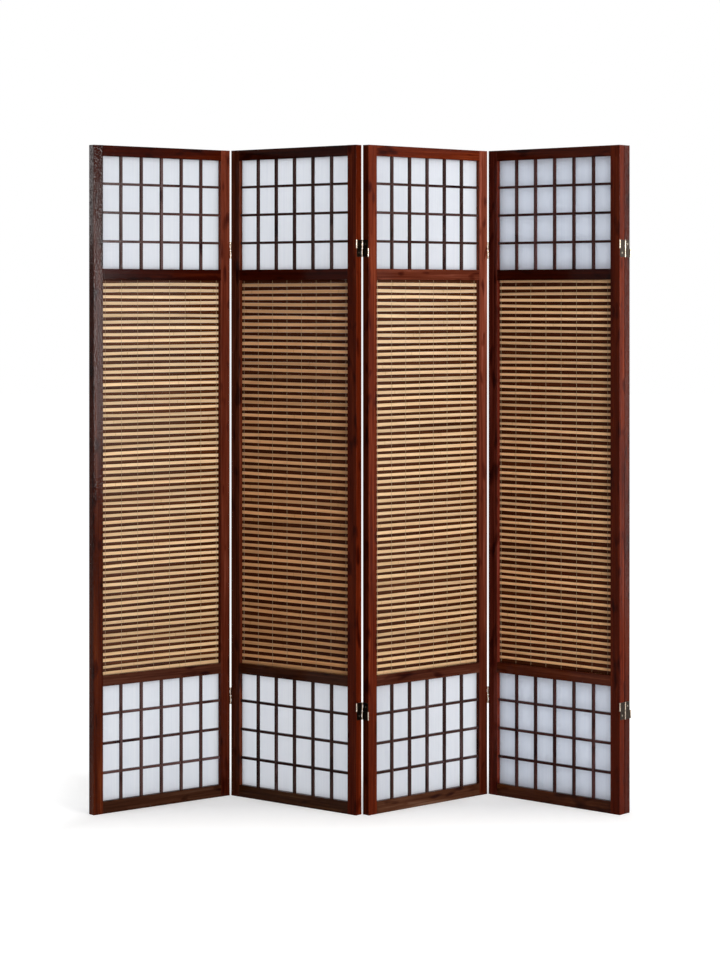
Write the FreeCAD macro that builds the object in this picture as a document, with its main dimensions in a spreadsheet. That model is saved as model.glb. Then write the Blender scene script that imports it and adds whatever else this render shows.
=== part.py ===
import FreeCAD, Part
import math
import os
from types import SimpleNamespace

import Sketcher

# A folding screen of five framed panels, which fold on crossed-link hinges. Millimetres, +Z up.
# A panel's own frame: X runs from its left stile to its right one, Y from its front face to its back.
# The panels stand in a zigzag on the floor, and the last one is folded flat behind the one before it.

SIZES = {
    # the frame of a panel
    "panel_height": 1790,
    "panel_width": 446.5,
    "frame_thickness": 22.8,
    "stile_width": 30.2,
    "top_rail_height": 29,
    "middle_rail_height": 29,
    "bottom_rail_height": 33,
    "upper_window_height": 302,
    "lower_window_height": 308,
    "edge_radius": 0.8,
    # its mortise and tenon joints
    "tenon_length": 15,
    "tenon_thickness": 7,
    "tenon_shoulder": 5,
    "tenon_clearance": 0.1,
    # the rebate behind each opening, and the battens in it
    "lip_thickness": 12.5,
    "rebate_width": 11,
    "rebate_clearance": 0.5,
    "batten_setback": 0.5,
    # the windows
    "paper_thickness": 0.5,
    "bar_width": 7,
    "bar_depth": 7.5,
    "lap_clearance": 0.1,
    # the mat of bamboo slats, and the threads that tie it
    "slat_thickness": 3,
    "slat_crown": 0.7,
    "thread_radius": 0.6,
    "thread_margin": 11,
    "thread_end_gap": 1,
    # the hinges
    "fold_gap": 3.8,
    "pin_proud": 0.6,
    "hinge_inset": 276.5,
    "hinge_height": 46,
    "hinge_half_gap": 1,
    "barrel_radius": 1.6,
    "barrel_clearance": 0.3,
    "leaf_thickness": 0.9,
    "leaf_margin": 2,
    "link_thickness": 0.9,
    "pin_radius": 0.8,
    "pin_clearance": 0.05,
    # their screws
    "screw_length": 16,
    "screw_tip_length": 4,
    "screw_radius": 1.4,
    "screw_head_radius": 2.7,
    "screw_clearance": 0.05,
    "screw_slot_length": 3.4,
    "screw_slot_width": 0.7,
    "screw_slot_depth": 0.6,
    # how far a cut runs past what it cuts
    "overrun": 5,
    # how the screen stands, in degrees: how far panel 1 is turned, and how far each fold is closed
    "panel_1_turn": 38.5,
    "fold_1_2": 77.4,
    "fold_2_3": 81,
    "fold_3_4": 83.5,
    "fold_4_5": 180,
}

PANELS = [1, 2, 3, 4, 5]
# A valley closes the front faces of its two panels on its front pins.
# A ridge closes the back faces on its back pins.
FOLDS = {1: "valley", 2: "ridge", 3: "valley", 4: "ridge"}
# Each hinge has an upper and a lower link, which ride with one panel or the other.
HALF_ON_LEFT_PANEL = {"valley": "lower", "ridge": "upper"}
HALF_ON_RIGHT_PANEL = {"valley": "upper", "ridge": "lower"}
WINDOW_COLUMNS = 6
WINDOW_ROWS = 4
THREADS = 8
KNUCKLES = 3
# The mats are hand made, so the slats of each are a little wider or narrower.
# Panel 4's mat hangs the other way up.
SLAT_PAIRS = {1: 63, 2: 59, 3: 62, 4: 62, 5: 61}
UPTURNED_MATS = [4]
# Of the height of a pair, its natural slat and each of its two gaps take these shares.
# Its dark slat takes the rest.
NATURAL_SLAT_SHARES = {1: 0.5, 2: 0.485, 3: 0.5, 4: 0.44, 5: 0.48}
SLAT_GAP_SHARE = 0.005

doc = FreeCAD.newDocument("folding_screen")
sheet = doc.addObject("Spreadsheet::Sheet", "Sizes")
for row, (alias, value) in enumerate(SIZES.items(), start=1):
    sheet.set(f"A{row}", alias)
    sheet.set(f"B{row}", str(value))
    sheet.setAlias(f"B{row}", alias)
doc.recompute()


class Size:
    """A value worked out from the sheet, kept as a number and as the expression that binds it."""

    def __init__(self, number, text):
        self.number = number
        self.text = text

    def __add__(self, other):
        other = as_size(other)
        return Size(self.number + other.number, f"({self.text} + {other.text})")

    def __sub__(self, other):
        other = as_size(other)
        return Size(self.number - other.number, f"({self.text} - {other.text})")

    def __mul__(self, other):
        other = as_size(other)
        return Size(self.number * other.number, f"({self.text} * {other.text})")

    def __truediv__(self, other):
        other = as_size(other)
        return Size(self.number / other.number, f"({self.text} / {other.text})")

    def __neg__(self):
        return Size(-self.number, f"(-1 * {self.text})")


def as_size(value):
    return value if isinstance(value, Size) else Size(value, repr(value))


size = SimpleNamespace(**{alias: Size(float(sheet.get(alias)), f"Sizes.{alias}") for alias in SIZES})
ZERO = as_size(0)

# The openings of a panel and the rails between them: where each starts above the floor, and its height.
upper_window_low = size.panel_height - size.top_rail_height - size.upper_window_height
upper_middle_rail_low = upper_window_low - size.middle_rail_height
lower_middle_rail_low = size.bottom_rail_height + size.lower_window_height
mat_low = lower_middle_rail_low + size.middle_rail_height
mat_height = upper_middle_rail_low - mat_low
WINDOWS = {
    "lower": (size.bottom_rail_height, size.lower_window_height),
    "upper": (upper_window_low, size.upper_window_height),
}
OPENINGS = {**WINDOWS, "mat": (mat_low, mat_height)}
RAILS = {
    "bottom_rail": (ZERO, size.bottom_rail_height),
    "lower_middle_rail": (lower_middle_rail_low, size.middle_rail_height),
    "upper_middle_rail": (upper_middle_rail_low, size.middle_rail_height),
    "top_rail": (size.panel_height - size.top_rail_height, size.top_rail_height),
}
opening_width = size.panel_width - size.stile_width * 2
rebate_depth = size.frame_thickness - size.lip_thickness
tenon_front = (size.lip_thickness - size.tenon_thickness) / 2
held_margin = size.rebate_width - size.rebate_clearance
held_left = size.stile_width - held_margin
held_width = opening_width + held_margin * 2
bar_front = size.lip_thickness - size.bar_depth

# A fold's front and back pins lie in the middle of its gap, a little proud of the panels' faces.
pin_spacing = size.frame_thickness + size.pin_proud * 2
pin_offset = size.fold_gap / 2
half_height = (size.hinge_height - size.hinge_half_gap) / 2
knuckle_height = (half_height - size.barrel_clearance * (KNUCKLES - 1)) / KNUCKLES
knuckle_pitch = knuckle_height + size.barrel_clearance
bore_radius = size.pin_radius + size.pin_clearance
HALF_LOWS = {"lower": ZERO, "upper": half_height + size.hinge_half_gap}
HINGE_LOWS = {
    "lower": size.hinge_inset - size.hinge_height / 2,
    "upper": size.panel_height - size.hinge_inset - size.hinge_height / 2,
}


# Objects bound to the sheet


def bind(thing, **sizes):
    """Bind properties to the sheet; a double underscore stands for the dot in a property's path."""
    for name, value in sizes.items():
        thing.setExpression(name.replace("__", "."), as_size(value).text)
    return thing


def place(thing, x=ZERO, y=ZERO, z=ZERO):
    return bind(thing, Placement__Base__x=x, Placement__Base__y=y, Placement__Base__z=z)


def turned(thing, axis, angle):
    thing.Placement = FreeCAD.Placement(FreeCAD.Vector(), FreeCAD.Rotation(FreeCAD.Vector(*axis), angle))
    return thing


def box(name, x, y, z, length, width, height):
    made = doc.addObject("Part::Box", name)
    bind(made, Length=length, Width=width, Height=height)
    return place(made, x, y, z)


def cylinder(name, x, y, z, radius, height):
    made = doc.addObject("Part::Cylinder", name)
    bind(made, Radius=radius, Height=height)
    return place(made, x, y, z)


def cone(name, z, low_radius, top_radius, height):
    made = doc.addObject("Part::Cone", name)
    bind(made, Radius1=low_radius, Radius2=top_radius, Height=height)
    return place(made, z=z)


def fused(name, pieces):
    made = doc.addObject("Part::MultiFuse", name)
    made.Shapes = pieces
    made.Refine = True
    return made


def cut(name, base, tools):
    made = doc.addObject("Part::Cut", name)
    made.Base = base
    made.Tool = fused(f"{name}_tools", tools)
    return made


def copy_of(thing, name, x=ZERO, y=ZERO, z=ZERO, axis=(0, 0, 1), angle=0):
    """The same solid in another place, turned about its own origin."""
    link = doc.addObject("App::Link", name)
    link.LinkedObject = thing
    return place(turned(link, axis, angle), x, y, z)


# Sketches and features of a body


def origin_part(body, role):
    return next(part for part in body.Origin.OriginFeatures if part.Role == role)


def sketch_on(body, name, role, offset=ZERO):
    """A sketch on one of the body's own planes, moved along that plane's normal."""
    sketch = body.newObject("Sketcher::SketchObject", name)
    sketch.AttachmentSupport = [(origin_part(body, role), "")]
    sketch.MapMode = "FlatFace"
    return bind(sketch, AttachmentOffset__Base__z=offset)


def constrain(sketch, *constraint):
    return sketch.addConstraint(Sketcher.Constraint(*constraint))


def dimension(sketch, name, kind, *where, value):
    """A driving dimension, bound to the sheet."""
    index = constrain(sketch, kind, *where, value.number)
    sketch.renameConstraint(index, name)
    sketch.setExpression(f"Constraints.{name}", value.text)


def locate(sketch, name, point, x, y):
    """Set a point of a sketch off from the sketch's origin."""
    origin = (-1, 1)
    offsets = [("x", "DistanceX", "Vertical", x), ("y", "DistanceY", "Horizontal", y)]
    for axis, kind, in_line, value in offsets:
        if value is ZERO:
            constrain(sketch, in_line, *origin, *point)
        else:
            dimension(sketch, f"{name}_{axis}", kind, *origin, *point, value=value)


def line(sketch, start, end):
    return sketch.addGeometry(Part.LineSegment(FreeCAD.Vector(*start, 0), FreeCAD.Vector(*end, 0)), False)


def rectangle(sketch, name, left, low, width, height):
    lefts, rights = left.number, left.number + width.number
    lows, tops = low.number, low.number + height.number
    corners = [(lefts, lows), (rights, lows), (rights, tops), (lefts, tops)]
    sides = [line(sketch, start, end) for start, end in zip(corners, corners[1:] + corners[:1])]
    for side, following in zip(sides, sides[1:] + sides[:1]):
        constrain(sketch, "Coincident", side, 2, following, 1)
    for side, direction in zip(sides, ["Horizontal", "Vertical", "Horizontal", "Vertical"]):
        constrain(sketch, direction, side)
    locate(sketch, name, (sides[0], 1), left, low)
    dimension(sketch, f"{name}_width", "DistanceX", sides[0], 1, sides[0], 2, value=width)
    dimension(sketch, f"{name}_height", "DistanceY", sides[1], 1, sides[1], 2, value=height)


def circle(sketch, name, x, y, radius):
    centre = FreeCAD.Vector(x.number, y.number, 0)
    index = sketch.addGeometry(Part.Circle(centre, FreeCAD.Vector(0, 0, 1), radius.number), False)
    locate(sketch, name, (index, 3), x, y)
    dimension(sketch, f"{name}_radius", "Radius", index, value=radius)


def crowned_section(sketch, depth, crown, height):
    """A slat's section: flat on three sides, with a rounded front."""
    corners = [
        (crown.number, 0),
        (depth.number, 0),
        (depth.number, height.number),
        (crown.number, height.number),
    ]
    low_side, back, top_side = [line(sketch, start, end) for start, end in zip(corners, corners[1:])]
    ends = [FreeCAD.Vector(*corner, 0) for corner in (corners[-1], corners[0])]
    middle = FreeCAD.Vector(0, height.number / 2, 0)
    front = sketch.addGeometry(Part.Arc(ends[0], middle, ends[1]), False)
    constrain(sketch, "Coincident", low_side, 2, back, 1)
    constrain(sketch, "Coincident", back, 2, top_side, 1)
    constrain(sketch, "Coincident", top_side, 2, front, 1)
    constrain(sketch, "Coincident", front, 2, low_side, 1)
    constrain(sketch, "Horizontal", low_side)
    constrain(sketch, "Vertical", back)
    constrain(sketch, "Horizontal", top_side)
    constrain(sketch, "Vertical", low_side, 1, top_side, 2)
    locate(sketch, "front_corner", (low_side, 1), crown, ZERO)
    dimension(sketch, "thickness", "DistanceX", -1, 1, back, 1, value=depth)
    dimension(sketch, "height", "DistanceY", back, 1, back, 2, value=height)
    radius = (crown * crown + height * height / 4) / crown / 2
    dimension(sketch, "front_radius", "Radius", front, value=radius)


def pad(body, name, sketch, length):
    made = body.newObject("PartDesign::Pad", name)
    made.Profile = sketch
    return bind(made, Length=length)


def pocket(body, name, sketch, length=None, along_normal=False):
    """A pocket against the sketch's normal or along it, and through everything where it has no length."""
    made = body.newObject("PartDesign::Pocket", name)
    made.Profile = sketch
    made.Reversed = along_normal
    if length is None:
        made.Type = "ThroughAll"
        return made
    return bind(made, Length=length)


def round_edges(body, name, base, is_chosen):
    """Round the straight edges of a feature whose two ends pass the test."""
    doc.recompute()
    chosen = [
        f"Edge{number}"
        for number, edge in enumerate(base.Shape.Edges, start=1)
        if is_chosen(*[vertex.Point for vertex in edge.Vertexes])
    ]
    made = body.newObject("PartDesign::Fillet", name)
    made.Base = (base, chosen)
    return bind(made, Radius=size.edge_radius)


def is_upright(start, end):
    return is_level(start.x, end.x) and is_level(start.y, end.y)


def is_across_front(start, end):
    return is_level(start.y, 0) and is_level(end.y, 0) and is_level(start.z, end.z)


def is_level(one, other):
    return abs(one - other) < Part.Precision.confusion()


# The wooden frame


def stile(name, is_left, is_hinged):
    """An upright, with a mortise for each rail, a rebate behind each opening, and pilot holes."""
    body = doc.addObject("PartDesign::Body", name)
    section = sketch_on(body, f"{name}_section", "XY_Plane")
    rectangle(section, "stile", ZERO, ZERO, size.stile_width, size.frame_thickness)
    blank = pad(body, f"{name}_blank", section, size.panel_height)
    round_edges(body, f"{name}_rounding", blank, is_upright)

    rebates = sketch_on(body, f"{name}_rebate_plan", "XZ_Plane", -size.lip_thickness)
    rebate_left = size.stile_width - size.rebate_width if is_left else ZERO
    for opening, (low, height) in OPENINGS.items():
        rebate_height = height + size.rebate_width * 2
        rectangle(rebates, opening, rebate_left, low - size.rebate_width, size.rebate_width, rebate_height)
    pocket(body, f"{name}_rebates", rebates)

    mortises = sketch_on(body, f"{name}_mortise_plan", "YZ_Plane", size.stile_width if is_left else ZERO)
    mortise_front = tenon_front - size.tenon_clearance
    mortise_width = size.tenon_thickness + size.tenon_clearance * 2
    mortise_inset = size.tenon_shoulder - size.tenon_clearance
    for rail_name, (low, height) in RAILS.items():
        mortise_height = height - mortise_inset * 2
        rectangle(mortises, rail_name, mortise_front, low + mortise_inset, mortise_width, mortise_height)
    mortise_depth = size.tenon_length + size.tenon_clearance
    pocket(body, f"{name}_mortises", mortises, mortise_depth, along_normal=not is_left)

    if is_hinged:
        pilots = sketch_on(body, f"{name}_pilot_plan", "YZ_Plane", ZERO if is_left else size.stile_width)
        for hinge, hinge_low in HINGE_LOWS.items():
            for half, half_low in HALF_LOWS.items():
                screw_z = hinge_low + half_low + half_height / 2
                screw_y = size.frame_thickness / 2
                pilot_radius = size.screw_radius + size.screw_clearance
                circle(pilots, f"{hinge}_{half}", screw_y, screw_z, pilot_radius)
        pilot_depth = size.screw_length - size.leaf_thickness + size.screw_clearance
        pocket(body, f"{name}_pilot_holes", pilots, pilot_depth, along_normal=is_left)
    return place(body, x=ZERO if is_left else size.panel_width - size.stile_width)


def rail(name, low, height):
    """A cross piece, with a tenon at each end and a rebate along each edge that meets an opening."""
    body = doc.addObject("PartDesign::Body", name)
    section = sketch_on(body, f"{name}_section", "YZ_Plane")
    rectangle(section, "rail", ZERO, ZERO, size.frame_thickness, height)
    blank = pad(body, f"{name}_blank", section, opening_width)
    round_edges(body, f"{name}_rounding", blank, is_across_front)

    rebates = sketch_on(body, f"{name}_rebate_plan", "YZ_Plane")
    if name != "bottom_rail":
        rectangle(rebates, "below", size.lip_thickness, ZERO, rebate_depth, size.rebate_width)
    if name != "top_rail":
        above_low = height - size.rebate_width
        rectangle(rebates, "above", size.lip_thickness, above_low, rebate_depth, size.rebate_width)
    pocket(body, f"{name}_rebates", rebates, along_normal=True)

    tenons = sketch_on(body, f"{name}_tenon_section", "YZ_Plane", -size.tenon_length)
    tenon_height = height - size.tenon_shoulder * 2
    rectangle(tenons, "tenon", tenon_front, size.tenon_shoulder, size.tenon_thickness, tenon_height)
    pad(body, f"{name}_tenons", tenons, opening_width + size.tenon_length * 2)
    return place(body, x=size.stile_width, z=low)


# The windows: a lattice of half-lapped bars, and the paper behind it


def clear_between_bars(length, cells):
    return (length - size.bar_width * (cells - 1)) / cells


def bar_offset(length, cells, number):
    """How far along an opening its bars lie, the first of them being number 1."""
    return clear_between_bars(length, cells) * number + size.bar_width * (number - 1)


def lattice_bar(name, length, crossed_length, crossed_cells, notch_front):
    """A bar on end, with a notch for each bar that crosses it."""
    body = doc.addObject("PartDesign::Body", name)
    section = sketch_on(body, f"{name}_section", "XY_Plane")
    rectangle(section, "bar", ZERO, ZERO, size.bar_width, size.bar_depth)
    pad(body, f"{name}_blank", section, length)
    notches = sketch_on(body, f"{name}_notch_plan", "YZ_Plane")
    notch_depth = (size.bar_depth + size.lap_clearance) / 2
    notch_height = size.bar_width + size.lap_clearance * 2
    for number in range(1, crossed_cells):
        low = bar_offset(crossed_length, crossed_cells, number) - size.lap_clearance
        rectangle(notches, f"notch_{number}", notch_front, low, notch_depth, notch_height)
    pocket(body, f"{name}_notches", notches, along_normal=True)
    return body


def lattice(window, low, height):
    """Upright bars notched at the back, and cross bars notched at the front."""
    half_depth = (size.bar_depth - size.lap_clearance) / 2
    upright = lattice_bar(f"{window}_upright_bar", height, height, WINDOW_ROWS, half_depth)
    across = lattice_bar(f"{window}_cross_bar", opening_width, opening_width, WINDOW_COLUMNS, ZERO)
    bars = []
    for number in range(1, WINDOW_COLUMNS):
        x = size.stile_width + bar_offset(opening_width, WINDOW_COLUMNS, number)
        bars.append(copy_of(upright, f"{window}_upright_{number}", x, bar_front, low))
    for number in range(1, WINDOW_ROWS):
        z = low + bar_offset(height, WINDOW_ROWS, number) + size.bar_width
        name = f"{window}_cross_{number}"
        bars.append(copy_of(across, name, size.stile_width, bar_front, z, axis=(0, 1, 0), angle=90))
    return bars


def paper(window, low, height):
    held_height = height + held_margin * 2
    at = (held_left, size.lip_thickness, low - held_margin)
    return box(f"{window}_paper", *at, held_width, size.paper_thickness, held_height)


def battens(opening, low, height, held_thickness):
    """Four strips in the rebate, which hold the paper or the mat against the lip."""
    front = size.lip_thickness + held_thickness
    depth = size.frame_thickness - size.batten_setback - front
    held_low = low - held_margin
    across_left = held_left + held_margin + size.rebate_clearance
    across_width = opening_width - size.rebate_clearance * 2
    strips = []
    for side, x in {"left": held_left, "right": size.stile_width + opening_width}.items():
        name = f"{opening}_{side}_batten"
        strips.append(box(name, x, front, held_low, held_margin, depth, height + held_margin * 2))
    for side, z in {"low": held_low, "top": low + height}.items():
        name = f"{opening}_{side}_batten"
        strips.append(box(name, across_left, front, z, across_width, depth, held_margin))
    return strips


# The mat of bamboo slats, in turn natural and dark, tied by threads before and behind


def slats(name, low, height, pitch, count):
    body = doc.addObject("PartDesign::Body", name)
    body.AllowCompound = True
    section = sketch_on(body, f"{name}_section", "YZ_Plane")
    crowned_section(section, size.slat_thickness, size.slat_crown, height)
    slat = pad(body, f"{name}_slat", section, held_width)
    pattern = body.newObject("PartDesign::LinearPattern", f"{name}_pattern")
    pattern.Originals = [slat]
    pattern.Direction = (origin_part(body, "Z_Axis"), [""])
    pattern.Mode = "Spacing"
    bind(pattern, Offset=pitch, Occurrences=count)
    body.Tip = pattern
    return place(body, held_left, size.lip_thickness, low)


def mat(panel):
    """The slats of a panel's mat. It runs one slat past the opening at each end, into the rebates."""
    pairs = SLAT_PAIRS[panel]
    pitch = mat_height / pairs
    gap = pitch * SLAT_GAP_SHARE
    natural_height = pitch * NATURAL_SLAT_SHARES[panel]
    dark_height = pitch - natural_height - gap * 2
    if panel in UPTURNED_MATS:
        dark_low = mat_low
        natural_low = mat_low - gap - natural_height
    else:
        natural_low = mat_low
        dark_low = mat_low - gap - dark_height
    return {
        "natural_slats": [slats(f"natural_{panel}", natural_low, natural_height, pitch, pairs + 1)],
        "dark_slats": [slats(f"dark_{panel}", dark_low, dark_height, pitch, pairs + 1)],
    }


def threads():
    pitch = (opening_width - size.thread_margin * 2) / (THREADS - 1)
    low = mat_low + size.thread_end_gap
    height = mat_height - size.thread_end_gap * 2
    strands = []
    for number in range(THREADS):
        x = size.stile_width + size.thread_margin + pitch * number
        front_y = size.lip_thickness - size.thread_radius
        back_y = size.lip_thickness + size.slat_thickness + size.thread_radius
        strands.append(cylinder(f"front_thread_{number}", x, front_y, low, size.thread_radius, height))
        strands.append(cylinder(f"back_thread_{number}", x, back_y, low, size.thread_radius, height))
    return strands


# The pieces of a hinge: X runs out from the end of a panel, Y from its front pin to its back one


def leaf():
    """A plate on a panel's end, with front knuckles in its upper half and back ones in its lower half."""
    plate_front = size.pin_proud + size.leaf_margin
    plate_width = size.frame_thickness - size.leaf_margin * 2
    plate = (ZERO, plate_front, ZERO, size.leaf_thickness, plate_width, size.hinge_height)
    solids = [box("leaf_plate", *plate)]
    holes = []
    for half, pin_y, arm_y in [("upper", ZERO, ZERO), ("lower", pin_spacing, pin_spacing / 2)]:
        half_low = HALF_LOWS[half]
        for number in range(0, KNUCKLES, 2):
            low = half_low + knuckle_pitch * number
            name = f"leaf_{half}_{number}"
            arm = (ZERO, arm_y, low, size.leaf_thickness, pin_spacing / 2, knuckle_height)
            knuckle = (pin_offset, pin_y, low, size.barrel_radius, knuckle_height)
            solids.append(box(f"{name}_arm", *arm))
            solids.append(cylinder(f"{name}_knuckle", *knuckle))
        holes.append(cylinder(f"leaf_{half}_bore", pin_offset, pin_y, half_low, bore_radius, half_height))
        screw_at = (ZERO, pin_spacing / 2, half_low + half_height / 2)
        name = f"leaf_{half}_countersink"
        holes.append(copy_of(countersink, name, *screw_at, axis=(0, 1, 0), angle=90))
    return cut("leaf", fused("leaf_blank", solids), holes)


def screw_form(name, clearance):
    """A head as deep as the leaf and a shank below it, with the head's top facing up."""
    radius = size.screw_radius + clearance
    shank_length = size.screw_length - size.leaf_thickness - size.screw_tip_length
    return [
        cone(f"{name}_head", ZERO, radius, size.screw_head_radius + clearance, size.leaf_thickness),
        cylinder(f"{name}_shank", ZERO, ZERO, -shank_length, radius, shank_length),
    ]


def screw():
    """A countersunk screw with a crossed slot in its head."""
    tip_low = size.leaf_thickness - size.screw_length
    tip = cone("screw_tip", tip_low, ZERO, size.screw_radius, size.screw_tip_length)
    slot_low = size.leaf_thickness - size.screw_slot_depth
    long, wide = size.screw_slot_length, size.screw_slot_width
    slots = [
        box(f"screw_slot_{name}", -length / 2, -width / 2, slot_low, length, width, size.overrun)
        for name, length, width in [("across", long, wide), ("along", wide, long)]
    ]
    return cut("screw", fused("screw_blank", [*screw_form("screw", ZERO), tip]), slots)


def link():
    """A plate that joins a front pin to a back one, with one knuckle on each between those of a leaf."""
    plate_x = pin_offset - size.link_thickness / 2
    plate_y = size.barrel_radius + size.barrel_clearance
    plate_width = pin_spacing - plate_y * 2
    solids = [
        box("link_plate", plate_x, plate_y, ZERO, size.link_thickness, plate_width, half_height),
        box("link_web", plate_x, ZERO, knuckle_pitch, size.link_thickness, pin_spacing, knuckle_height),
    ]
    bores = []
    for side, y in {"front": ZERO, "back": pin_spacing}.items():
        name = f"link_{side}"
        solids.append(
            cylinder(f"{name}_knuckle", pin_offset, y, knuckle_pitch, size.barrel_radius, knuckle_height)
        )
        bores.append(cylinder(f"{name}_bore", pin_offset, y, ZERO, bore_radius, half_height))
    return cut("link", fused("link_blank", solids), bores)


countersink = fused("countersink", screw_form("countersink", size.screw_clearance))
hinge_leaf = leaf()
hinge_link = link()
hinge_screw = screw()
hinge_pins = [
    cylinder(f"{side}_pin", pin_offset, y, ZERO, size.pin_radius, half_height)
    for side, y in {"front": ZERO, "back": pin_spacing}.items()
]
hinge_pin_pair = doc.addObject("Part::Compound", "pin_pair")
hinge_pin_pair.Links = hinge_pins


def hinges(is_left_end, carried_half):
    """The hinge pieces that ride with one end of a panel. A leaf is turned about for the left end."""
    end = "left" if is_left_end else "right"
    leaf_x = ZERO if is_left_end else size.panel_width
    leaf_y = size.frame_thickness + size.pin_proud if is_left_end else -size.pin_proud
    leaf_turn = 180 if is_left_end else 0
    screw_turn = -90 if is_left_end else 90
    link_x = -size.fold_gap if is_left_end else size.panel_width
    link_y = -size.pin_proud
    pieces = {"hinge_leaves": [], "hinge_links": [], "hinge_pins": [], "hinge_screws": []}
    for hinge, low in HINGE_LOWS.items():
        name = f"{end}_{hinge}_{carried_half}"
        pieces["hinge_leaves"].append(
            copy_of(hinge_leaf, f"{name}_leaf", leaf_x, leaf_y, low, angle=leaf_turn)
        )
        link_low = low + HALF_LOWS[carried_half]
        pieces["hinge_links"].append(copy_of(hinge_link, f"{name}_link", link_x, link_y, link_low))
        pieces["hinge_pins"].append(copy_of(hinge_pin_pair, f"{name}_pins", link_x, link_y, link_low))
        for half, half_low in HALF_LOWS.items():
            at = (leaf_x, size.frame_thickness / 2, low + half_low + half_height / 2)
            made = copy_of(hinge_screw, f"{name}_{half}_screw", *at, axis=(0, 1, 0), angle=screw_turn)
            pieces["hinge_screws"].append(made)
    return pieces


# Where each panel stands


def moved(x, y):
    return FreeCAD.Placement(FreeCAD.Vector(x, y, 0), FreeCAD.Rotation())


def turn(angle):
    return FreeCAD.Placement(FreeCAD.Vector(), FreeCAD.Rotation(FreeCAD.Vector(0, 0, 1), angle))


def panel_places():
    """Each panel is turned about its fold's pins from where it would lie flat beside the one before."""
    places = {PANELS[0]: turn(size.panel_1_turn.number)}
    for panel, kind in FOLDS.items():
        following = panel + 1
        closed = getattr(size, f"fold_{panel}_{following}").number
        is_ridge = kind == "ridge"
        angle = closed if is_ridge else -closed
        pin_y = (size.frame_thickness + size.pin_proud if is_ridge else -size.pin_proud).number
        to_pin = moved((size.panel_width + pin_offset).number, pin_y)
        places[following] = places[panel] * to_pin * turn(angle) * moved(pin_offset.number, -pin_y)
    return places


def panel_pieces(panel):
    is_first = panel == PANELS[0]
    is_last = panel == PANELS[-1]
    pieces = {
        "stiles": [
            stiles["left_plain" if is_first else "left_hinged"],
            stiles["right_plain" if is_last else "right_hinged"],
        ],
        "rails": rails,
        "lattice_bars": lattice_bars,
        "paper": papers,
        "battens": all_battens,
        "threads": all_threads,
        **mat(panel),
    }
    if is_first:
        return {**pieces, **hinge_ends["right", HALF_ON_LEFT_PANEL[FOLDS[panel]]]}
    left = hinge_ends["left", HALF_ON_RIGHT_PANEL[FOLDS[panel - 1]]]
    if is_last:
        return {**pieces, **left}
    right = hinge_ends["right", HALF_ON_LEFT_PANEL[FOLDS[panel]]]
    return {**pieces, **{kind: left[kind] + right[kind] for kind in left}}


stiles = {
    "left_plain": stile("left_plain_stile", True, False),
    "left_hinged": stile("left_hinged_stile", True, True),
    "right_hinged": stile("right_hinged_stile", False, True),
    "right_plain": stile("right_plain_stile", False, False),
}
rails = [rail(name, *where) for name, where in RAILS.items()]
lattice_bars = [bar for window, where in WINDOWS.items() for bar in lattice(window, *where)]
papers = [paper(window, *where) for window, where in WINDOWS.items()]
held_thicknesses = {
    "lower": size.paper_thickness,
    "upper": size.paper_thickness,
    "mat": size.slat_thickness,
}
all_battens = [
    strip
    for opening, where in OPENINGS.items()
    for strip in battens(opening, *where, held_thicknesses[opening])
]
all_threads = threads()
hinge_ends = {
    (end, half): hinges(end == "left", half) for end in ["left", "right"] for half in ["lower", "upper"]
}

nodes = []
for panel, where in panel_places().items():
    for kind, pieces in panel_pieces(panel).items():
        node = doc.addObject("Part::Compound", f"panel_{panel}_{kind}")
        node.Links = pieces
        node.Placement = where
        nodes.append(node)
doc.recompute()

# The origin is on the floor, below the middle of the space that the screen takes up.
whole = FreeCAD.BoundBox()
for node in nodes:
    whole.add(node.Shape.optimalBoundingBox(False))
to_origin = moved(-whole.Center.x, -whole.Center.y)
for node in nodes:
    node.Placement = to_origin * node.Placement
doc.recompute()

for thing in doc.Objects:
    if "Invalid" in thing.State or "Error" in thing.State:
        raise RuntimeError(f"{thing.Label} failed: {thing.State}")
for node in nodes:
    if node.Shape.isNull() or not node.Shape.isValid():
        raise RuntimeError(f"{node.Label} has no valid shape")

os.makedirs("parts", exist_ok=True)
for node in nodes:
    node.Shape.exportStep(f"parts/{node.Label}.step")
    print(node.Label, len(node.Shape.Solids), round(node.Shape.Volume, 1))
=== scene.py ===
import math
import random

import bmesh
import bpy
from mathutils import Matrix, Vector

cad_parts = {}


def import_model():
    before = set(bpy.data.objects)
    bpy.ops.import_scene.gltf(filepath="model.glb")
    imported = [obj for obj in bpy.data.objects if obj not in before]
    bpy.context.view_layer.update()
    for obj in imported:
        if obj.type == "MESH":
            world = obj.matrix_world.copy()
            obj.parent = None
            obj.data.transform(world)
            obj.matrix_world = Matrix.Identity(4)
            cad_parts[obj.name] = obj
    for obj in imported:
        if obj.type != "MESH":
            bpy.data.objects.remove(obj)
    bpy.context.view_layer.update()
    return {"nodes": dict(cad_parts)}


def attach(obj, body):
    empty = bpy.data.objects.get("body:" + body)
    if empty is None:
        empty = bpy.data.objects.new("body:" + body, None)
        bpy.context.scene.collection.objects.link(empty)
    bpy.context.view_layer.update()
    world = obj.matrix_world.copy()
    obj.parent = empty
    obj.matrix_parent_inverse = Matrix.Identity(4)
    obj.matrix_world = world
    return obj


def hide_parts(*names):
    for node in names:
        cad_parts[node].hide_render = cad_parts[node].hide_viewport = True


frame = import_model()

MM = 0.001
UP = Vector((0, 0, 1))

# The camera looks level, from three quarters of the screen's height, and its frame is shifted down to it.
CAMERA_PLACE = (-0.0013, -7.01068, 1.377)
CAMERA_SENSOR = 36
CAMERA_LENS = 96.225
CAMERA_SHIFT = -0.1881

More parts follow.
